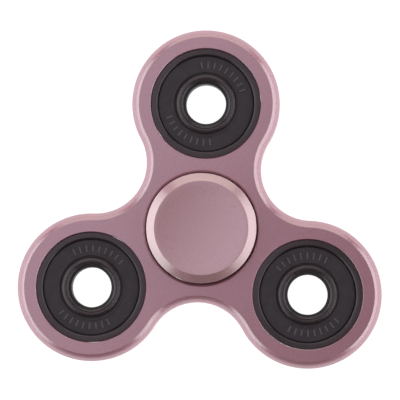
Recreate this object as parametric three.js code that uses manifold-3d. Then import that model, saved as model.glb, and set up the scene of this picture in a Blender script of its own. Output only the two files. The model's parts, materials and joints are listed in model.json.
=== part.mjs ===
// Fidget spinner: a three-lobed aluminium body that turns on a sealed ball bearing, held between two
// screwed-together finger caps, with one more bearing of the same size in each lobe as its weight.
// Millimetres, +Z up the spin axis. The origin is the centre of the bottom cap's flat face, and one
// lobe points along +Y.
import * as THREE from "three";
import { mergeVertices } from "three/addons/utils/BufferGeometryUtils.js";
import Module from "manifold-3d";

const wasm = await Module();
wasm.setup();

// Whole object
const LOBES = 3;
const OVERALL_THICKNESS = 13; // from one cap's flat face to the other's
const MID_HEIGHT = OVERALL_THICKNESS / 2;

// Body: lobes and the hollow waists between them are arcs centred on one circle
const ARC_CENTRES = 25;
const LOBE_RADIUS = 14.8;
const WAIST_RADIUS = ARC_CENTRES - LOBE_RADIUS; // the arcs then meet in a smooth line
const BODY_THICKNESS = 8;
const EDGE_BEVEL_WIDTH = 1.4;
const EDGE_BEVEL_DROP = 1.5;
const COUNTERSINK_RADIUS = 11.7; // round the middle bore, under the finger caps' rims
const COUNTERSINK_DEPTH = 0.5;
const PRESS_GAP = 0.05; // stands in for the press fit of a bearing in its bore

// Bearing, the standard 8 x 22 x 7 mm size
const BORE_RADIUS = 4;
const BEARING_RADIUS = 11;
const BEARING_WIDTH = 7;
const BALLS = 7;
const BALL_RADIUS = 3.969 / 2;
const PITCH_RADIUS = 7.5; // circle of the ball centres
const INNER_SHOULDER_RADIUS = 6.05;
const OUTER_SHOULDER_RADIUS = 8.95;
const GROOVE_RADIUS = BALL_RADIUS + 0.15; // running clearance round the balls
const RING_CORNER = 0.3;
const BORE_CORNER = 0.9;
const SEAT_RADIUS = 9.7; // where a seal clips into the outer ring
const SEAT_HEIGHT = 2.6; // all bearing heights are from the bearing's middle plane

// Seal
const SEAL_INNER_RADIUS = 6.4;
const SEAL_OUTER_RADIUS = 9.6;
const SEAL_BOTTOM = 2.75;
const SEAL_TOP = 3.15;
const SEAL_EDGE_DROP = 0.25;

// Crown cage
const CAGE_INNER_RADIUS = 6.6;
const CAGE_OUTER_RADIUS = 8.4;
const CAGE_BACK = -2.45;
const CAGE_FINGER_TOP = 1.2;
const POCKET_RADIUS = BALL_RADIUS + 0.25;

// Finger caps
const CAP_RADIUS = 11;
const CAP_BEVEL_WIDTH = 1.6;
const CAP_BEVEL_DROP = 1;
const CAP_THICKNESS = 2.7;
const BOSS_RADIUS = 5.8; // touches the inner ring only
const FACE_GAP = 0.1;
const SLEEVE_RADIUS = BORE_RADIUS - PRESS_GAP;
const SLEEVE_HOLE_RADIUS = 2.6; // threads are left as plain cylinders
const STUD_RADIUS = 2.5;
const SLEEVE_END = 9.5; // heights above the cap's flat face
const SLEEVE_HOLE_FLOOR = 3.5;
const STUD_END = 9;

// Facets
const ARC_SEGMENTS = 12;
const BEARING_SEGMENTS = 24;
const CAP_SEGMENTS = 36;

const rose = { color: 0xa5818a, roughness: 0.42, metalness: 1 };
const paleRose = { color: 0xb8949c, roughness: 0.36, metalness: 1 };
const blackSteel = { color: 0x4a464b, roughness: 0.35, metalness: 0.9 };
const blackRubber = { color: 0x37343a, roughness: 0.6, metalness: 0 };
const brightSteel = { color: 0xc9cbce, roughness: 0.12, metalness: 1 };
const blackNylon = { color: 0x232226, roughness: 0.55, metalness: 0 };

// --- Solids ---------------------------------------------------------------------------------------

/** A solid of revolution about +Z. The profile is [radius, height] points, anticlockwise. */
function turned(profile, segments) {
  const points = profile.map(([radius, height]) => new THREE.Vector2(radius, height));
  const startsOnAxis = profile[0][0] === 0;
  if (!startsOnAxis) points.push(points[0].clone());
  return new THREE.LatheGeometry(points, segments).rotateX(Math.PI / 2);
}

/** A closed geometry as a solid that can be joined and cut. */
function solidOf(geometry) {
  const bare = geometry.clone();
  bare.deleteAttribute("normal");
  bare.deleteAttribute("uv");
  const merged = mergeVertices(bare);
  const corners = merged.index.array;
  const triangles = [];
  for (let i = 0; i < corners.length; i += 3) {
    const [a, b, c] = corners.slice(i, i + 3);
    const isFlat = a === b || b === c || c === a;
    if (!isFlat) triangles.push(a, b, c);
  }
  return new wasm.Manifold(
    new wasm.Mesh({
      numProp: 3,
      vertProperties: new Float32Array(merged.attributes.position.array),
      triVerts: new Uint32Array(triangles),
    }),
  );
}

/** A joined or cut solid as a geometry. */
function geometryOf(solid) {
  const mesh = solid.getMesh();
  const geometry = new THREE.BufferGeometry();
  geometry.setAttribute("position", new THREE.BufferAttribute(mesh.vertProperties, 3));
  geometry.setIndex(new THREE.BufferAttribute(mesh.triVerts, 1));
  geometry.computeVertexNormals();
  return geometry;
}

function piece(name, geometry, finish) {
  const mesh = new THREE.Mesh(geometry, new THREE.MeshStandardMaterial(finish));
  mesh.name = name;
  return mesh;
}

/** A half profile and its mirror image below the middle plane, as one closed anticlockwise profile. */
function mirrored(upperHalf) {
  const lowerHalf = upperHalf
    .filter(([, height]) => height !== 0)
    .map(([radius, height]) => [radius, -height])
    .reverse();
  return [...lowerHalf, ...upperHalf];
}

// --- Body -----------------------------------------------------------------------------------------

const lobeAngle = (index) => (index * 2 * Math.PI) / LOBES;

/** Moves a solid or group from the spin axis out to the middle of one lobe. */
function toLobe(index) {
  return new THREE.Matrix4()
    .makeRotationZ(lobeAngle(index))
    .multiply(new THREE.Matrix4().makeTranslation(0, ARC_CENTRES, 0));
}

/** The lobes' arcs turn one way and the waists' arcs the other, and each arc touches the next. */
function outline() {
  const shape = new THREE.Shape();
  const third = Math.PI / LOBES;
  for (let i = 0; i < LOBES; i++) {
    const lobe = Math.PI / 2 + lobeAngle(i);
    const waist = lobe + third;
    const lobeX = ARC_CENTRES * Math.cos(lobe);
    const lobeY = ARC_CENTRES * Math.sin(lobe);
    const waistX = ARC_CENTRES * Math.cos(waist);
    const waistY = ARC_CENTRES * Math.sin(waist);
    shape.absarc(lobeX, lobeY, LOBE_RADIUS, lobe - 2 * third, lobe + 2 * third, false);
    shape.absarc(waistX, waistY, WAIST_RADIUS, waist - 2 * third, waist + 2 * third, true);
  }
  return shape;
}

/** A cylinder that cuts a bearing's bore right through the body. */
function boreCutter() {
  const radius = BEARING_RADIUS + PRESS_GAP;
  const reach = BODY_THICKNESS;
  return turned([[0, -reach], [radius, -reach], [radius, reach], [0, reach]], BEARING_SEGMENTS);
}

/** A cone that widens upwards through the body's top face. */
function countersinkCutter() {
  const face = BODY_THICKNESS / 2;
  const reach = 2 * COUNTERSINK_DEPTH;
  const spread = 2 * (COUNTERSINK_RADIUS - BEARING_RADIUS - PRESS_GAP); // over the reach
  const profile = [
    [0, face - reach],
    [COUNTERSINK_RADIUS - spread, face - reach],
    [COUNTERSINK_RADIUS + spread, face + reach],
    [0, face + reach],
  ];
  return turned(profile, BEARING_SEGMENTS);
}

function bodyGeometry() {
  const plate = new THREE.ExtrudeGeometry(outline(), {
    depth: BODY_THICKNESS - 2 * EDGE_BEVEL_DROP,
    bevelThickness: EDGE_BEVEL_DROP,
    bevelSize: EDGE_BEVEL_WIDTH,
    bevelOffset: -EDGE_BEVEL_WIDTH,
    bevelSegments: 1,
    curveSegments: ARC_SEGMENTS,
  }).translate(0, 0, EDGE_BEVEL_DROP - BODY_THICKNESS / 2);

  const cutters = [boreCutter(), countersinkCutter(), countersinkCutter().rotateX(Math.PI)];
  for (let i = 0; i < LOBES; i++) {
    cutters.push(boreCutter().applyMatrix4(toLobe(i)));
  }
  let body = solidOf(plate);
  for (const cutter of cutters) {
    body = body.subtract(solidOf(cutter));
  }
  return geometryOf(body);
}

// --- Bearing, about its own middle ----------------------------------------------------------------

/** The upper half of a ball groove, from the middle plane to the ring's shoulder. */
function grooveArc(shoulderRadius) {
  const side = Math.sign(shoulderRadius - PITCH_RADIUS);
  const depth = Math.abs(shoulderRadius - PITCH_RADIUS);
  const endAngle = Math.acos(depth / GROOVE_RADIUS);
  return [0, endAngle / 2, endAngle].map((angle) => [
    PITCH_RADIUS + side * GROOVE_RADIUS * Math.cos(angle),
    GROOVE_RADIUS * Math.sin(angle),
  ]);
}

function outerRingGeometry() {
  const face = BEARING_WIDTH / 2;
  const upperHalf = [
    ...grooveArc(OUTER_SHOULDER_RADIUS),
    [OUTER_SHOULDER_RADIUS, SEAT_HEIGHT],
    [SEAT_RADIUS, SEAT_HEIGHT],
    [SEAT_RADIUS, face - RING_CORNER],
    [SEAT_RADIUS + RING_CORNER, face],
    [BEARING_RADIUS - RING_CORNER, face],
    [BEARING_RADIUS, face - RING_CORNER],
  ];
  return turned(mirrored(upperHalf).reverse(), BEARING_SEGMENTS);
}

function innerRingGeometry() {
  const face = BEARING_WIDTH / 2;
  const upperHalf = [
    ...grooveArc(INNER_SHOULDER_RADIUS),
    [INNER_SHOULDER_RADIUS, face],
    [BORE_RADIUS + BORE_CORNER, face],
    [BORE_RADIUS, face - BORE_CORNER],
  ];
  return turned(mirrored(upperHalf), BEARING_SEGMENTS);
}

function sealGeometry() {
  const profile = [
    [SEAL_INNER_RADIUS, SEAL_BOTTOM],
    [SEAL_OUTER_RADIUS, SEAL_BOTTOM],
    [SEAL_OUTER_RADIUS, SEAL_TOP - SEAL_EDGE_DROP],
    [SEAL_OUTER_RADIUS - SEAL_EDGE_DROP, SEAL_TOP],
    [SEAL_INNER_RADIUS, SEAL_TOP],
  ];
  return turned(profile, BEARING_SEGMENTS);
}

function ballPosition(index) {
  const angle = (index * 2 * Math.PI) / BALLS;
  return new THREE.Vector3(-Math.sin(angle), Math.cos(angle), 0).multiplyScalar(PITCH_RADIUS);
}

/** A ring with a round pocket for each ball. The pockets break out of its top between the fingers. */
function cageGeometry() {
  const ring = turned(
    [
      [CAGE_INNER_RADIUS, CAGE_BACK],
      [CAGE_OUTER_RADIUS, CAGE_BACK],
      [CAGE_OUTER_RADIUS, CAGE_FINGER_TOP],
      [CAGE_INNER_RADIUS, CAGE_FINGER_TOP],
    ],
    BALLS * 4,
  );
  let cage = solidOf(ring);
  for (let i = 0; i < BALLS; i++) {
    const { x, y } = ballPosition(i);
    cage = cage.subtract(solidOf(new THREE.IcosahedronGeometry(POCKET_RADIUS, 1).translate(x, y, 0)));
  }
  return geometryOf(cage);
}

function ballGeometry(index) {
  const { x, y } = ballPosition(index);
  return new THREE.IcosahedronGeometry(BALL_RADIUS, 1).translate(x, y, 0);
}

/** All the loose pieces of one bearing, named after where it sits. */
function bearing(place) {
  const group = new THREE.Group();
  const seal = sealGeometry();
  group.add(
    piece(`${place}_outer_ring`, outerRingGeometry(), blackSteel),
    piece(`${place}_inner_ring`, innerRingGeometry(), blackSteel),
    piece(`${place}_cage`, cageGeometry(), blackNylon),
    piece(`${place}_top_seal`, seal, blackRubber),
    piece(`${place}_bottom_seal`, seal.clone().rotateY(Math.PI), blackRubber),
  );
  for (let i = 0; i < BALLS; i++) {
    group.add(piece(`${place}_ball_${i + 1}`, ballGeometry(i), brightSteel));
  }
  return group;
}

// --- Finger caps, from the flat face upwards ------------------------------------------------------

const bossEnd = (OVERALL_THICKNESS - BEARING_WIDTH) / 2 - FACE_GAP;

/** The part that both caps share, from the middle of the flat face round to the boss's end. */
const capProfile = [
  [0, 0],
  [CAP_RADIUS - CAP_BEVEL_WIDTH, 0],
  [CAP_RADIUS, CAP_BEVEL_DROP],
  [CAP_RADIUS, CAP_THICKNESS],
  [BOSS_RADIUS, CAP_THICKNESS],
  [BOSS_RADIUS, bossEnd],
];

/** The cap with the threaded sleeve, which fills the middle bearing's bore. */
function sleeveCapGeometry() {
  const sleeve = [
    [SLEEVE_RADIUS, bossEnd],
    [SLEEVE_RADIUS, SLEEVE_END],
    [SLEEVE_HOLE_RADIUS, SLEEVE_END],
    [SLEEVE_HOLE_RADIUS, SLEEVE_HOLE_FLOOR],
    [0, SLEEVE_HOLE_FLOOR],
  ];
  return turned([...capProfile, ...sleeve], CAP_SEGMENTS);
}

/** The cap with the threaded stud, which screws into the sleeve. */
function studCapGeometry() {
  const stud = [
    [STUD_RADIUS, bossEnd],
    [STUD_RADIUS, STUD_END],
    [0, STUD_END],
  ];
  return turned([...capProfile, ...stud], CAP_SEGMENTS);
}

// --- Assembly -------------------------------------------------------------------------------------

const spinner = new THREE.Group();

const bottomCap = piece("bottom_finger_cap", sleeveCapGeometry(), paleRose);
const topCap = piece("top_finger_cap", studCapGeometry(), paleRose);
topCap.rotation.x = Math.PI;
topCap.position.z = OVERALL_THICKNESS;
spinner.add(bottomCap, topCap);

const middlePlane = new THREE.Group();
middlePlane.position.z = MID_HEIGHT;
middlePlane.add(piece("spinner_body", bodyGeometry(), rose), bearing("centre"));
for (let i = 0; i < LOBES; i++) {
  const weight = bearing(`lobe_${"abc"[i]}`);
  weight.applyMatrix4(toLobe(i));
  middlePlane.add(weight);
}
spinner.add(middlePlane);

export default spinner;
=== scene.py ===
"""Looks of the fidget spinner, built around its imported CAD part. Lengths in the constants are in
millimetres, and MM turns them into metres, unless a comment there says metres.
+Z is the spin axis and one lobe lies along +Y."""
import json
import math

import bmesh
import bpy
from mathutils import Matrix, Vector


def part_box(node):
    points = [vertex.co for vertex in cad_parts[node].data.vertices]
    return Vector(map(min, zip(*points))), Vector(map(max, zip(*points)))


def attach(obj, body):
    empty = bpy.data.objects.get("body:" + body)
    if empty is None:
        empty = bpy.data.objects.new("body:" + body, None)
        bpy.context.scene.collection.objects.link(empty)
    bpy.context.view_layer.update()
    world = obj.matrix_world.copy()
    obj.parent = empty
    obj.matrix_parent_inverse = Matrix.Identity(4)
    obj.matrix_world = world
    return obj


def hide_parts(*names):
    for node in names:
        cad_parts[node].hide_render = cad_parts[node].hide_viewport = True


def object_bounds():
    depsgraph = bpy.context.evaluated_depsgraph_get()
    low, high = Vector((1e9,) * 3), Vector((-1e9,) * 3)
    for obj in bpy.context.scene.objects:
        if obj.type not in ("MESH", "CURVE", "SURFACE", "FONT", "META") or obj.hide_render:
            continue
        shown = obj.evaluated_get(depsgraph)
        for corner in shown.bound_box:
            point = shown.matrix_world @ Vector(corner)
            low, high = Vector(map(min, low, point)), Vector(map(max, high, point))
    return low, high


MM = 0.001

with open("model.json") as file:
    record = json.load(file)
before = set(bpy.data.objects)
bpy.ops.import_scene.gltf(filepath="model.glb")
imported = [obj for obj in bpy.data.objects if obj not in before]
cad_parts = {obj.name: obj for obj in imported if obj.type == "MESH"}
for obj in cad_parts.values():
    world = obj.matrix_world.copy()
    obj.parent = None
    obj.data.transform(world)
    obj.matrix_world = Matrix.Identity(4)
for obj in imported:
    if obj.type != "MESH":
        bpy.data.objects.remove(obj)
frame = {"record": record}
cad_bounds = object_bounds()

PLACES = ("centre", "lobe_a", "lobe_b", "lobe_c")
LOBES = PLACES[1:]
BALLS = 7
ROUNDING_STEPS = 4

# Body: lobe and waist arcs share one circle of centres
ARC_CENTRES = 25.0
LOBE_RADIUS = 14.8
WAIST_RADIUS = ARC_CENTRES - LOBE_RADIUS
BODY_HALF = 4.0
BORE_WALL = 11.05
COUNTERSINK = 11.7
COUNTERSINK_DEPTH = 0.5
BORE_EDGE = 0.12
WEAR_BAND = 0.12
EDGE_WEAR = 0.1
BEVEL_WIDTH = 1.4
BEVEL_START_TILT = math.radians(32)
BEVEL_END_TILT = math.radians(58)
WALL_FILLET = 0.5
ARC_STEPS = 56
BEVEL_STEPS = 8
FILLET_STEPS = 4
HOLE_STEPS = 144

# Bearing, heights from its own middle plane
FACE = 3.5
RING_RADIUS = 11.0
BORE_RADIUS = 4.0
PITCH_RADIUS = 7.5
BALL_RADIUS = 3.969 / 2
GROOVE_RADIUS = BALL_RADIUS + 0.15
GROOVE_STEPS = 14
INNER_SHOULDER = 6.05
OUTER_SHOULDER = 8.95
SEAT_RADIUS = 9.7
SEAT_HEIGHT = 2.6
SEAL_INNER = 6.34
SEAL_OUTER = 9.6
SEAL_UNDERSIDE = 2.75
SEAL_TOP = 3.15
SEAL_FACE = SEAL_TOP - 0.12
LIP_RADIUS = INNER_SHOULDER - 0.02
LIP_THICKNESS = 0.14
SEAL_TURNS = {"centre": 0, "lobe_a": -30, "lobe_b": -10, "lobe_c": 12}  # degrees
MARK_INNER = 7.05
MARK_OUTER = 8.5
MARK_WIDTH = 0.44
MARK_RISE = 0.12
MARK_SLOPE = 0.08
MARK_STARTS = (52, 232)  # degrees
MARK_PITCH = 9.5  # degrees
MARKS_PER_ARC = 9
FLANK_ROOM = 0.008  # radians kept free of other vertices beside a mark's flank
CAGE_INNER = 6.6
CAGE_OUTER = 8.4
CAGE_BACK = -2.45
CAGE_TOP = 1.2
POCKET_RADIUS = BALL_RADIUS + 0.1
CAGE_STEPS = 140
CAGE_CREASE = math.radians(30)
BALL_SUBDIVISIONS = 4

# Finger caps, heights from the flat face
CAP_RADIUS = 11.0
CAP_BEVEL_WIDTH = 1.6
CAP_BEVEL_DROP = 1.0
CAP_THICKNESS = 2.7
CAP_DISH = 0.28
CAP_DISH_STEPS = 12
CAP_STEPS = 192
BOSS_RADIUS = 5.8
BOSS_END = 2.9
SLEEVE_RADIUS = 3.95
SLEEVE_END = 9.5
SLEEVE_HOLE = 2.6
SLEEVE_HOLE_FLOOR = 3.5
STUD_RADIUS = 2.5
STUD_END = 9.0

# Camera, from the photo's viewing angle
CAMERA_DISTANCE = 700.0
FRAME_WIDTH = 80.4
SENSOR = 36.0
ROLL = math.radians(2.0)
TILT_RIGHT = math.radians(1.5)
TILT_DOWN = math.radians(2.2)
AIM_RIGHT = -0.39
AIM_UP = 5.81


# --- Reading the frame ----------------------------------------------------------------------------

BODY_OF = {node: body for body, nodes in frame["record"]["behaviour"]["bodies"].items() for node in nodes}


def middle_of(node):
    low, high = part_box(node)
    return (low + high) / 2


def outward_turn(place):
    """How far a bearing's cage is turned from +Y, so that its first ball points outwards."""
    middle = middle_of(f"{place}_outer_ring")
    return math.atan2(middle.y, middle.x) - math.pi / 2 if middle.xy.length > MM else 0.0


# --- Mesh helpers ---------------------------------------------------------------------------------

def make_piece(name, bm, node, material, placed, crease_deg=24.0):
    """Turns a bmesh in millimetres into the piece that stands for one CAD node."""
    mesh = bpy.data.meshes.new(name)
    bmesh.ops.recalc_face_normals(bm, faces=bm.faces)
    bm.to_mesh(mesh)
    bm.free()
    mesh.transform(Matrix.Scale(MM, 4))
    mesh.shade_smooth()
    mesh.set_sharp_from_angle(angle=math.radians(crease_deg))
    mesh.materials.append(material)
    return place_piece(name, mesh, node, placed)


def place_piece(name, mesh, node, placed):
    piece = bpy.data.objects.new(name, mesh)
    bpy.context.scene.collection.objects.link(piece)
    piece.matrix_world = placed
    flats = piece.modifiers.new("flat faces stay flat", "WEIGHTED_NORMAL")
    flats.keep_sharp = True
    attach(piece, BODY_OF[node])
    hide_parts(node)
    return piece


def arc(centre_r, centre_z, radius, start_deg, end_deg, steps):
    """Points of an arc in a profile, both ends included."""
    points = []
    for i in range(steps + 1):
        angle = math.radians(start_deg + (end_deg - start_deg) * i / steps)
        points.append((centre_r + radius * math.cos(angle), centre_z + radius * math.sin(angle)))
    return points


def rounded(corners):
    """A profile through (radius, height, rounding) corners, with an arc at each rounded one."""
    points = []
    count = len(corners)
    for i, (r, z, rounding) in enumerate(corners):
        here = Vector((r, z))
        if rounding == 0:
            points.append((r, z))
            continue
        before = (Vector(corners[i - 1][:2]) - here).normalized()
        after = (Vector(corners[(i + 1) % count][:2]) - here).normalized()
        half = before.angle(after) / 2
        centre = here + (before + after).normalized() * (rounding / math.sin(half))
        start = here + before * (rounding / math.tan(half)) - centre
        end = here + after * (rounding / math.tan(half)) - centre
        turn = start.angle_signed(end)
        for step in range(ROUNDING_STEPS + 1):
            spoke = start.copy()
            spoke.rotate(Matrix.Rotation(-turn * step / ROUNDING_STEPS, 2))
            points.append(tuple(centre + spoke))
    return points


def even_angles(count):
    return [2 * math.pi * i / count for i in range(count)]


def revolve(profile, angles, lift=None):
    """A turned solid: a closed profile off the axis, or an open one with both ends on it.
    lift(radius, height, angle) may raise a point a little, and raised points are marked as worn."""
    bm = bmesh.new()
    wear = bm.verts.layers.float.new("wear")
    rings = []
    for r, z in profile:
        if r < 1e-6:
            rings.append([bm.verts.new((0, 0, z))])
            continue
        ring = []
        for angle in angles:
            rise = lift(r, z, angle) if lift else 0.0
            vert = bm.verts.new((r * math.cos(angle), r * math.sin(angle), z + rise))
            vert[wear] = 1.0 if rise > 0 else 0.0
            ring.append(vert)
        rings.append(ring)
    on_axis = len(rings[0]) == 1
    pairs = list(zip(rings, rings[1:])) if on_axis else list(zip(rings, rings[1:] + rings[:1]))
    count = len(angles)
    for lower, upper in pairs:
        for i in range(count):
            j = (i + 1) % count
            spots = ((lower, i), (lower, j), (upper, j), (upper, i))
            corners = [loop[k % len(loop)] for loop, k in spots]
            bm.faces.new(list(dict.fromkeys(corners)))
    return bm


def bridge(bm, lower, upper):
    count = len(lower)
    for i in range(count):
        j = (i + 1) % count
        bm.faces.new((lower[i], lower[j], upper[j], upper[i]))


def fill_between(bm, loops):
    """Fills the flat face between closed loops of edges that are already there."""
    edges = []
    for loop in loops:
        for i, vert in enumerate(loop):
            after = loop[(i + 1) % len(loop)]
            edges.append(bm.edges.get((vert, after)))
    bmesh.ops.triangle_fill(bm, use_beauty=True, use_dissolve=False, edges=edges)


# --- Material helpers -----------------------------------------------------------------------------

WAVE_PERIOD = 0.314  # metres from ring to ring of a wave texture whose scale is 1


class Nodes:
    """A material's node tree, with short calls for what repeats."""

    def __init__(self, name):
        self.material = bpy.data.materials.new(name)
        self.material.use_nodes = True
        self.tree = self.material.node_tree
        self.shader = self.tree.nodes["Principled BSDF"]
        self.coords = self.tree.nodes.new("ShaderNodeTexCoord").outputs["Object"]

    def join(self, output, target):
        self.tree.links.new(output, target)

    def noise(self, size_mm, detail, roughness=0.5):
        texture = self.tree.nodes.new("ShaderNodeTexNoise")
        texture.inputs["Scale"].default_value = 1 / (size_mm * MM)
        texture.inputs["Detail"].default_value = detail
        texture.inputs["Roughness"].default_value = roughness
        self.join(self.coords, texture.inputs["Vector"])
        return texture.outputs["Fac"]

    def turning_lines(self, pitch_mm):
        """Fine rings about the piece's own axis, as a lathe tool leaves."""
        texture = self.tree.nodes.new("ShaderNodeTexWave")
        texture.wave_type = "RINGS"
        texture.rings_direction = "Z"
        texture.inputs["Scale"].default_value = WAVE_PERIOD / (pitch_mm * MM)
        texture.inputs["Distortion"].default_value = 0.6
        texture.inputs["Detail"].default_value = 2
        self.join(self.coords, texture.inputs["Vector"])
        return texture.outputs["Fac"]

    def distance_from_axis(self):
        flat = self.tree.nodes.new("ShaderNodeVectorMath")
        flat.operation = "MULTIPLY"
        flat.inputs[1].default_value = (1, 1, 0)
        length = self.tree.nodes.new("ShaderNodeVectorMath")
        length.operation = "LENGTH"
        self.join(self.coords, flat.inputs[0])
        self.join(flat.outputs["Vector"], length.inputs[0])
        return length.outputs["Value"]

    def around_axis(self):
        node = self.tree.nodes.new("ShaderNodeTangent")
        node.direction_type = "RADIAL"
        node.axis = "Z"
        return node.outputs["Tangent"]

    def math(self, operation, a, b):
        node = self.tree.nodes.new("ShaderNodeMath")
        node.operation = operation
        for socket, value in zip(node.inputs, (a, b)):
            if isinstance(value, (int, float)):
                socket.default_value = value
            else:
                self.join(value, socket)
        return node.outputs[0]

    def between(self, factor, low, high, start=0.3, end=0.7):
        """Maps a texture's middle range onto a range of values."""
        node = self.tree.nodes.new("ShaderNodeMapRange")
        node.inputs["From Min"].default_value = start
        node.inputs["From Max"].default_value = end
        node.inputs["To Min"].default_value = low
        node.inputs["To Max"].default_value = high
        self.join(factor, node.inputs["Value"])
        return node.outputs["Result"]

    def blend_colours(self, factor, first, second):
        node = self.tree.nodes.new("ShaderNodeMix")
        node.data_type = "RGBA"
        self.join(factor, node.inputs["Factor"])
        for socket, colour in zip((node.inputs[6], node.inputs[7]), (first, second)):
            if isinstance(colour, tuple):
                socket.default_value = (*colour, 1)
            else:
                self.join(colour, socket)
        return node.outputs[2]

    def edge_wear(self):
        node = self.tree.nodes.new("ShaderNodeAttribute")
        node.attribute_name = "wear"
        return node.outputs["Fac"]

    def bump(self, height, depth_mm):
        node = self.tree.nodes.new("ShaderNodeBump")
        node.inputs["Strength"].default_value = 1.0
        node.inputs["Distance"].default_value = depth_mm * MM
        self.join(height, node.inputs["Height"])
        self.join(node.outputs["Normal"], self.shader.inputs["Normal"])

    def set(self, **values):
        for name, value in values.items():
            socket = self.shader.inputs[name.replace("_", " ")]
            if isinstance(value, bpy.types.NodeSocket):
                self.join(value, socket)
            elif isinstance(value, tuple):
                socket.default_value = (*value, 1)
            else:
                socket.default_value = value


# --- Materials ------------------------------------------------------------------------------------

def anodised(name, colour, roughness, grain):
    """Dyed aluminium, bead-blasted before anodising, under its clear oxide skin."""
    n = Nodes(name)
    fine = n.noise(0.24, detail=3, roughness=0.65)
    cloudy = n.noise(3.5, detail=3)
    deeper = tuple(c * 0.87 for c in colour)
    paler = tuple(min(1.0, c * 1.13) for c in colour)
    grainy = n.blend_colours(n.between(fine, 0, 1), deeper, paler)
    worn = n.blend_colours(n.edge_wear(), grainy, (0.78, 0.66, 0.68))
    n.set(
        Base_Color=worn,
        Metallic=1.0,
        Roughness=n.math("ADD", n.between(fine, roughness - 0.05, roughness + 0.05),
                         n.between(cloudy, -0.02, 0.02)),
        Coat_Weight=1.0,
        Coat_IOR=2.3,
        Coat_Roughness=0.22,
    )
    n.bump(fine, grain)
    return n.material


def black_steel():
    """Black bearing steel, ground in fine circles that stretch its highlights. Round its bore the colour is
    near black, as painted shade for the dark bore.
    """
    n = Nodes("black bearing steel")
    lines = n.turning_lines(0.09)
    speckle = n.noise(0.25, detail=4, roughness=0.7)
    ground = n.blend_colours(n.between(speckle, 0, 1), (0.084, 0.071, 0.079), (0.124, 0.106, 0.116))
    # Painted shade: within 4.5 mm of the axis, which is the inner ring's bore, the base colour is near
    # black.
    painted_shade_edge = (BORE_RADIUS + 0.50) * MM
    clear_of_painted_bore_shade = n.between(n.distance_from_axis(), 0, 1, painted_shade_edge, painted_shade_edge + 0.10 * MM)
    shade = n.blend_colours(clear_of_painted_bore_shade, (0.016, 0.013, 0.012), ground)
    n.set(
        Base_Color=shade,
        Metallic=0.85,
        Roughness=n.between(speckle, 0.34, 0.44),
        Anisotropic=0.6,
        Anisotropic_Rotation=0.25,
        Tangent=n.around_axis(),
    )
    n.bump(n.math("ADD", lines, n.math("MULTIPLY", speckle, 0.5)), 0.004)
    return n.material


def seal_rubber():
    """Moulded nitrile rubber: matt, faintly mottled, and paler where its raised marks are rubbed."""
    n = Nodes("seal rubber")
    grain = n.noise(0.12, detail=4, roughness=0.7)
    mottle = n.noise(1.6, detail=3)
    shade = n.blend_colours(n.between(mottle, 0, 1), (0.034, 0.028, 0.035), (0.049, 0.040, 0.050))
    rubbed = n.blend_colours(n.edge_wear(), shade, (0.105, 0.092, 0.102))
    n.set(Base_Color=rubbed, Roughness=n.between(grain, 0.46, 0.62), Specular_IOR_Level=0.5)
    n.bump(grain, 0.012)
    return n.material


def ball_steel():
    n = Nodes("polished ball steel")
    haze = n.noise(0.8, detail=2)
    n.set(Base_Color=(0.72, 0.72, 0.73), Metallic=1.0, Roughness=n.between(haze, 0.05, 0.11))
    return n.material


def cage_nylon():
    n = Nodes("cage nylon")
    grain = n.noise(0.3, detail=3)
    shade = n.blend_colours(n.between(grain, 0, 1), (0.020, 0.019, 0.022), (0.032, 0.030, 0.034))
    n.set(Base_Color=shade, Roughness=n.between(grain, 0.42, 0.55))
    n.bump(grain, 0.006)
    return n.material


BODY_ROSE = anodised("rose anodised body", (0.55, 0.265, 0.345), 0.60, 0.014)
CAP_ROSE = anodised("rose anodised cap", (0.66, 0.38, 0.44), 0.52, 0.006)
STEEL = black_steel()
RUBBER = seal_rubber()
BALL_STEEL = ball_steel()
NYLON = cage_nylon()


# --- Body -----------------------------------------------------------------------------------------

def edge_profile():
    """(inset from the outline, height) from the crisp top edge down to the straight wall."""
    fillet_sine = 1 - math.sin(BEVEL_END_TILT)
    crown_width = BEVEL_WIDTH - WALL_FILLET * fillet_sine
    crown_radius = crown_width / (math.sin(BEVEL_END_TILT) - math.sin(BEVEL_START_TILT))
    points = []
    for i in range(BEVEL_STEPS + 1):
        tilt = BEVEL_START_TILT + (BEVEL_END_TILT - BEVEL_START_TILT) * i / BEVEL_STEPS
        across = crown_radius * (math.sin(tilt) - math.sin(BEVEL_START_TILT))
        drop = crown_radius * (math.cos(BEVEL_START_TILT) - math.cos(tilt))
        points.append((BEVEL_WIDTH - across, BODY_HALF - drop))
    foot = points[-1][1]
    for i in range(1, FILLET_STEPS + 1):
        tilt = BEVEL_END_TILT + (math.pi / 2 - BEVEL_END_TILT) * i / FILLET_STEPS
        across = WALL_FILLET * (1 - math.sin(tilt))
        drop = WALL_FILLET * (math.cos(BEVEL_END_TILT) - math.cos(tilt))
        points.append((across, foot - drop))
    return points


def outline_loop(bm, inset, height):
    """One loop round the outline, moved inwards: lobe arcs shrink and waist arcs grow."""
    third = math.pi / 3
    loop = []
    for lobe in range(len(LOBES)):
        lobe_angle = math.pi / 2 + 2 * third * lobe
        waist_angle = lobe_angle + third
        arcs = (
            (lobe_angle, LOBE_RADIUS - inset, lobe_angle - 2 * third, 4 * third, 2 * ARC_STEPS),
            (waist_angle, WAIST_RADIUS + inset, waist_angle - 2 * third, -2 * third, ARC_STEPS),
        )
        for centre_angle, radius, start, sweep, steps in arcs:
            for i in range(steps):
                angle = start + sweep * i / steps
                x = ARC_CENTRES * math.cos(centre_angle) + radius * math.cos(angle)
                y = ARC_CENTRES * math.sin(centre_angle) + radius * math.sin(angle)
                loop.append(bm.verts.new((x, y, height)))
    return loop


def hole_loop(bm, centre, radius, height):
    loop = []
    for angle in even_angles(HOLE_STEPS):
        x = centre.x + radius * math.cos(angle)
        y = centre.y + radius * math.sin(angle)
        loop.append(bm.verts.new((x, y, height)))
    return loop


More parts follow.
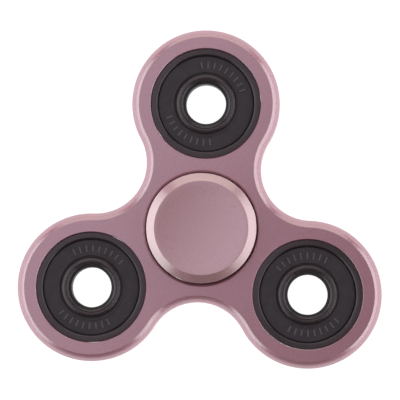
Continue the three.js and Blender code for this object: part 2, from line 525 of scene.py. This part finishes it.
def hole_profile(is_centre):
    """(radius, height) down a bore: a broken edge, or the steep countersink round the caps."""
    top = [(BORE_WALL + BORE_EDGE, BODY_HALF), (BORE_WALL, BODY_HALF - BORE_EDGE)]
    if is_centre:
        top = [(COUNTERSINK, BODY_HALF), (BORE_WALL, BODY_HALF - COUNTERSINK_DEPTH)]
    return top + [(radius, -height) for radius, height in reversed(top)]


def build_body():
    bm = bmesh.new()
    wear = bm.verts.layers.float.new("wear")
    upper = [(BEVEL_WIDTH + WEAR_BAND, BODY_HALF)] + edge_profile()
    profile = upper + [(inset, -height) for inset, height in reversed(upper)]
    loops = [outline_loop(bm, inset, height) for inset, height in profile]
    for lower, higher in zip(loops, loops[1:]):
        bridge(bm, lower, higher)
    tops, bottoms = [loops[0]], [loops[-1]]
    for place in PLACES:
        centre = middle_of(f"{place}_outer_ring") / MM
        rings = [hole_loop(bm, centre, r, z) for r, z in hole_profile(place == "centre")]
        for lower, higher in zip(rings, rings[1:]):
            bridge(bm, lower, higher)
        tops.append(rings[0])
        bottoms.append(rings[-1])
    fill_between(bm, tops)
    fill_between(bm, bottoms)
    for vert in loops[1] + loops[-2]:
        vert[wear] = EDGE_WEAR
    middle = Matrix.Translation((0, 0, middle_of("spinner_body").z))
    return make_piece("spinner_body_machined", bm, "spinner_body", BODY_ROSE, middle)


# --- Bearings -------------------------------------------------------------------------------------

def groove(shoulder):
    """The ball groove's arc between a ring's two shoulders, from the lower one to the upper."""
    half = math.degrees(math.acos(abs(shoulder - PITCH_RADIUS) / GROOVE_RADIUS))
    start, end = (-half, half) if shoulder > PITCH_RADIUS else (180 + half, 180 - half)
    return arc(PITCH_RADIUS, 0, GROOVE_RADIUS, start, end, GROOVE_STEPS)


def with_mirror(upper):
    """A profile half and its mirror image below the middle plane."""
    return upper + [(r, -z, rounding) for r, z, rounding in reversed(upper)]


def outer_ring_profile():
    upper = [
        (OUTER_SHOULDER, SEAT_HEIGHT, 0.05),
        (SEAT_RADIUS, SEAT_HEIGHT, 0.05),
        (SEAT_RADIUS, FACE - 0.22, 0.06),
        (SEAT_RADIUS + 0.22, FACE, 0.08),
        (RING_RADIUS, FACE, 0.12),
    ]
    return rounded(with_mirror(upper)) + groove(OUTER_SHOULDER)


def inner_ring_profile():
    upper = [
        (INNER_SHOULDER, FACE - 0.58, 0.06),
        (INNER_SHOULDER - 0.24, FACE - 0.20, 0.05),
        (INNER_SHOULDER - 0.60, FACE, 0.08),
        (BORE_RADIUS + 1.14, FACE, 0.03),
        (BORE_RADIUS + 1.02, FACE - 0.16, 0.03),
        (BORE_RADIUS + 0.92, FACE - 0.04, 0.04),
        (BORE_RADIUS + 0.56, FACE - 0.26, 0.10),
        (BORE_RADIUS, FACE - 1.30, 0.30),
    ]
    return rounded(with_mirror(upper)) + groove(INNER_SHOULDER)


def seal_profile():
    """From the thin lip round the underside to the rolled outer edge and back over the face."""
    mark_band = [MARK_INNER, MARK_INNER + MARK_SLOPE, MARK_OUTER - MARK_SLOPE, MARK_OUTER]
    corners = [
        (LIP_RADIUS, SEAL_UNDERSIDE, 0.05),
        (SEAL_OUTER, SEAL_UNDERSIDE, 0.06),
        (SEAL_OUTER, SEAL_UNDERSIDE + 0.12, 0.05),
        (SEAL_OUTER - 0.18, SEAL_FACE, 0.08),
        *((radius, SEAL_FACE, 0) for radius in reversed(mark_band)),
        (SEAL_INNER + 0.34, SEAL_FACE, 0.08),
        (SEAL_INNER + 0.26, SEAL_TOP, 0.06),
        (SEAL_INNER, SEAL_TOP, 0.08),
        (SEAL_INNER, SEAL_UNDERSIDE + LIP_THICKNESS, 0.05),
        (LIP_RADIUS, SEAL_UNDERSIDE + LIP_THICKNESS, 0.04),
    ]
    return rounded(corners)


def seal_geometry():
    """A seal with two arcs of raised radial marks moulded on its face."""
    marks = [math.radians(first + MARK_PITCH * i) for first in MARK_STARTS for i in range(MARKS_PER_ARC)]
    middle_radius = (MARK_INNER + MARK_OUTER) / 2
    half = MARK_WIDTH / 2 / middle_radius
    slope = MARK_SLOPE / middle_radius
    flanks = [mark + side for mark in marks for side in (-half, slope - half, half - slope, half)]

    def clear_of_flanks(angle):
        return all(abs(angle - flank) > FLANK_ROOM for flank in flanks)

    def lift(radius, height, angle):
        on_face = height >= SEAL_FACE and MARK_INNER < radius < MARK_OUTER
        on_mark = any(abs(angle - mark) < half - slope + 1e-6 for mark in marks)
        return MARK_RISE if on_face and on_mark else 0.0

    plain = [angle for angle in even_angles(HOLE_STEPS) if clear_of_flanks(angle)]
    return revolve(seal_profile(), sorted(plain + flanks), lift)


def crown_cage_mesh():
    """A moulded ring with seven round pockets, open at the top."""
    ring = revolve(
        rounded([
            (CAGE_INNER, CAGE_BACK, 0.15),
            (CAGE_OUTER, CAGE_BACK, 0.15),
            (CAGE_OUTER, CAGE_TOP, 0.12),
            (CAGE_INNER, CAGE_TOP, 0.12),
        ]),
        even_angles(CAGE_STEPS),
    )
    balls = bmesh.new()
    for i in range(BALLS):
        angle = math.pi / 2 + 2 * math.pi * i / BALLS
        spot = Matrix.Translation((PITCH_RADIUS * math.cos(angle), PITCH_RADIUS * math.sin(angle), 0))
        bmesh.ops.create_icosphere(balls, subdivisions=BALL_SUBDIVISIONS, radius=POCKET_RADIUS, matrix=spot)
    solids = []
    for name, bm in (("cage blank", ring), ("pocket cutter", balls)):
        bmesh.ops.recalc_face_normals(bm, faces=bm.faces)
        mesh = bpy.data.meshes.new(name)
        bm.to_mesh(mesh)
        bm.free()
        solid = bpy.data.objects.new(name, mesh)
        bpy.context.scene.collection.objects.link(solid)
        solids.append(solid)
    blank, cutter = solids
    cut = blank.modifiers.new("pockets", "BOOLEAN")
    cut.operation = "DIFFERENCE"
    cut.solver = "EXACT"
    cut.object = cutter
    shaped = blank.evaluated_get(bpy.context.evaluated_depsgraph_get())
    mesh = bpy.data.meshes.new_from_object(shaped)
    for solid in solids:
        bpy.data.objects.remove(solid)
    mesh.transform(Matrix.Scale(MM, 4))
    mesh.shade_smooth()
    mesh.set_sharp_from_angle(angle=CAGE_CREASE)
    mesh.materials.clear()
    mesh.materials.append(NYLON)
    return mesh


def build_ball(node):
    bm = bmesh.new()
    bmesh.ops.create_icosphere(bm, subdivisions=BALL_SUBDIVISIONS, radius=BALL_RADIUS)
    make_piece(f"{node}_polished", bm, node, BALL_STEEL, Matrix.Translation(middle_of(node)))


def build_bearing(place, cage_mesh):
    here = Matrix.Translation(middle_of(f"{place}_outer_ring"))
    turned_over = here @ Matrix.Rotation(math.pi, 4, "Y")
    around = even_angles(HOLE_STEPS)
    outer, inner = f"{place}_outer_ring", f"{place}_inner_ring"
    make_piece(f"{outer}_ground", revolve(outer_ring_profile(), around), outer, STEEL, here)
    make_piece(f"{inner}_ground", revolve(inner_ring_profile(), around), inner, STEEL, here)
    for node, placed in ((f"{place}_top_seal", here), (f"{place}_bottom_seal", turned_over)):
        seal = seal_geometry()
        turn = Matrix.Rotation(math.radians(SEAL_TURNS[place]), 3, "Z")
        bmesh.ops.rotate(seal, verts=seal.verts, matrix=turn)
        make_piece(f"{node}_moulded", seal, node, RUBBER, placed, crease_deg=35)
    cage = cage_mesh.copy()
    cage.transform(Matrix.Rotation(outward_turn(place), 4, "Z"))
    place_piece(f"{place}_cage_moulded", cage, f"{place}_cage", here)
    for i in range(BALLS):
        build_ball(f"{place}_ball_{i + 1}")


# --- Finger caps ----------------------------------------------------------------------------------

def cap_profile(spindle):
    """From the middle of the dished face round the rim and boss to the end of the spindle."""
    edge = CAP_RADIUS - CAP_BEVEL_WIDTH
    dish = []
    for i in range(CAP_DISH_STEPS):
        part_way = i / CAP_DISH_STEPS
        dish.append((edge * part_way, CAP_DISH * (1 - part_way ** 2), 0))
    return [
        *dish,
        (edge, 0, 0.04),
        (CAP_RADIUS, CAP_BEVEL_DROP, 0.10),
        (CAP_RADIUS, CAP_THICKNESS, 0.12),
        (BOSS_RADIUS, CAP_THICKNESS, 0.10),
        (BOSS_RADIUS, BOSS_END, 0.05),
        *spindle,
    ]


def build_caps():
    sleeve = [
        (SLEEVE_RADIUS, BOSS_END, 0.05),
        (SLEEVE_RADIUS, SLEEVE_END, 0.20),
        (SLEEVE_HOLE, SLEEVE_END, 0.20),
        (SLEEVE_HOLE, SLEEVE_HOLE_FLOOR, 0.05),
        (0, SLEEVE_HOLE_FLOOR, 0),
    ]
    stud = [
        (STUD_RADIUS, BOSS_END, 0.05),
        (STUD_RADIUS, STUD_END, 0.30),
        (0, STUD_END, 0),
    ]
    top = Matrix.Translation((0, 0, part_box("top_finger_cap")[1].z)) @ Matrix.Rotation(math.pi, 4, "X")
    bottom = Matrix.Translation((0, 0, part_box("bottom_finger_cap")[0].z))
    for node, spindle, placed in (("bottom_finger_cap", sleeve, bottom), ("top_finger_cap", stud, top)):
        bm = revolve(rounded(cap_profile(spindle)), even_angles(CAP_STEPS))
        make_piece(f"{node}_turned", bm, node, CAP_ROSE, placed, crease_deg=20)


# --- Stage ----------------------------------------------------------------------------------------

# In metres
FLOOR_HALF_SIZE = 12.0
FLOOR_GAP = 0.0002

FLOOR_COLOUR = (0.12, 0.12, 0.12)
FLOOR_GLOW = (1.0, 1.0, 1.0)


def build_floor():
    """A plain plane just below the part. It glows white by itself, so shadows hardly show on it."""
    bm = bmesh.new()
    bmesh.ops.create_grid(bm, x_segments=2, y_segments=2, size=FLOOR_HALF_SIZE)
    mesh = bpy.data.meshes.new("floor")
    bm.to_mesh(mesh)
    bm.free()
    n = Nodes("pale floor")
    n.set(Base_Color=FLOOR_COLOUR, Roughness=0.9, Emission_Color=FLOOR_GLOW, Emission_Strength=1.0)
    mesh.materials.append(n.material)
    floor = bpy.data.objects.new("floor", mesh)
    bpy.context.scene.collection.objects.link(floor)
    floor.location.z = cad_bounds[0][2] - FLOOR_GAP


# name: (position, width and height, watts, colour), with the lengths in metres
PANELS = {
    "left softbox": ((-0.90, -0.10, 0.32), (1.9, 0.5), 6.0, (0.85, 1.00, 0.97)),
    "right softbox": ((0.90, -0.05, 0.32), (1.9, 0.5), 6.1, (0.92, 1.00, 0.99)),
    "back softbox": ((0.0, 0.95, 0.33), (1.3, 0.6), 2.8, (0.97, 1.00, 0.90)),
    "overhead panel": ((-0.24, 0.14, 0.6), (0.58, 0.58), 1.0, (0.93, 0.86, 1.00)),
}
ROOM_COLOUR = (0.14, 0.11, 0.09)


def add_lights():
    """Soft rectangular panels that all face the spinner, in a dim even room."""
    for name, (position, size, watts, colour) in PANELS.items():
        light = bpy.data.lights.new(name, "AREA")
        light.shape = "RECTANGLE"
        light.size, light.size_y = size
        light.energy = watts
        light.color = colour
        panel = bpy.data.objects.new(name, light)
        bpy.context.scene.collection.objects.link(panel)
        panel.location = position
        panel.rotation_euler = (-Vector(position)).to_track_quat("-Z", "Y").to_euler()
        panel.visible_camera = False
    world = bpy.data.worlds.new("soft room")
    world.use_nodes = True
    world.node_tree.nodes["Background"].inputs["Color"].default_value = (*ROOM_COLOUR, 1)
    bpy.context.scene.world = world


def add_camera():
    """Nearly overhead. The part is turned a little in the picture, so the camera is rolled."""
    right = Vector((math.cos(ROLL), math.sin(ROLL), 0))
    up = Vector((-math.sin(ROLL), math.cos(ROLL), 0))
    towards = (right * math.tan(TILT_RIGHT) - up * math.tan(TILT_DOWN) + Vector((0, 0, 1))).normalized()
    middle = Vector((0, 0, middle_of("spinner_body").z))
    aim = middle + (right * AIM_RIGHT + up * AIM_UP) * MM
    side = up.cross(towards).normalized()
    camera = bpy.data.objects.new("camera", bpy.data.cameras.new("camera"))
    bpy.context.scene.collection.objects.link(camera)
    place = Matrix((side, towards.cross(side), towards)).transposed().to_4x4()
    place.translation = aim + towards * CAMERA_DISTANCE * MM
    camera.matrix_world = place
    camera.data.sensor_width = SENSOR
    camera.data.lens = SENSOR * CAMERA_DISTANCE / FRAME_WIDTH
    bpy.context.scene.camera = camera


add_camera()
build_body()
CAGE_MESH = crown_cage_mesh()
for bearing_name in PLACES:
    build_bearing(bearing_name, CAGE_MESH)
build_caps()
build_floor()
add_lights()
bpy.context.scene.view_settings.view_transform = "Standard"
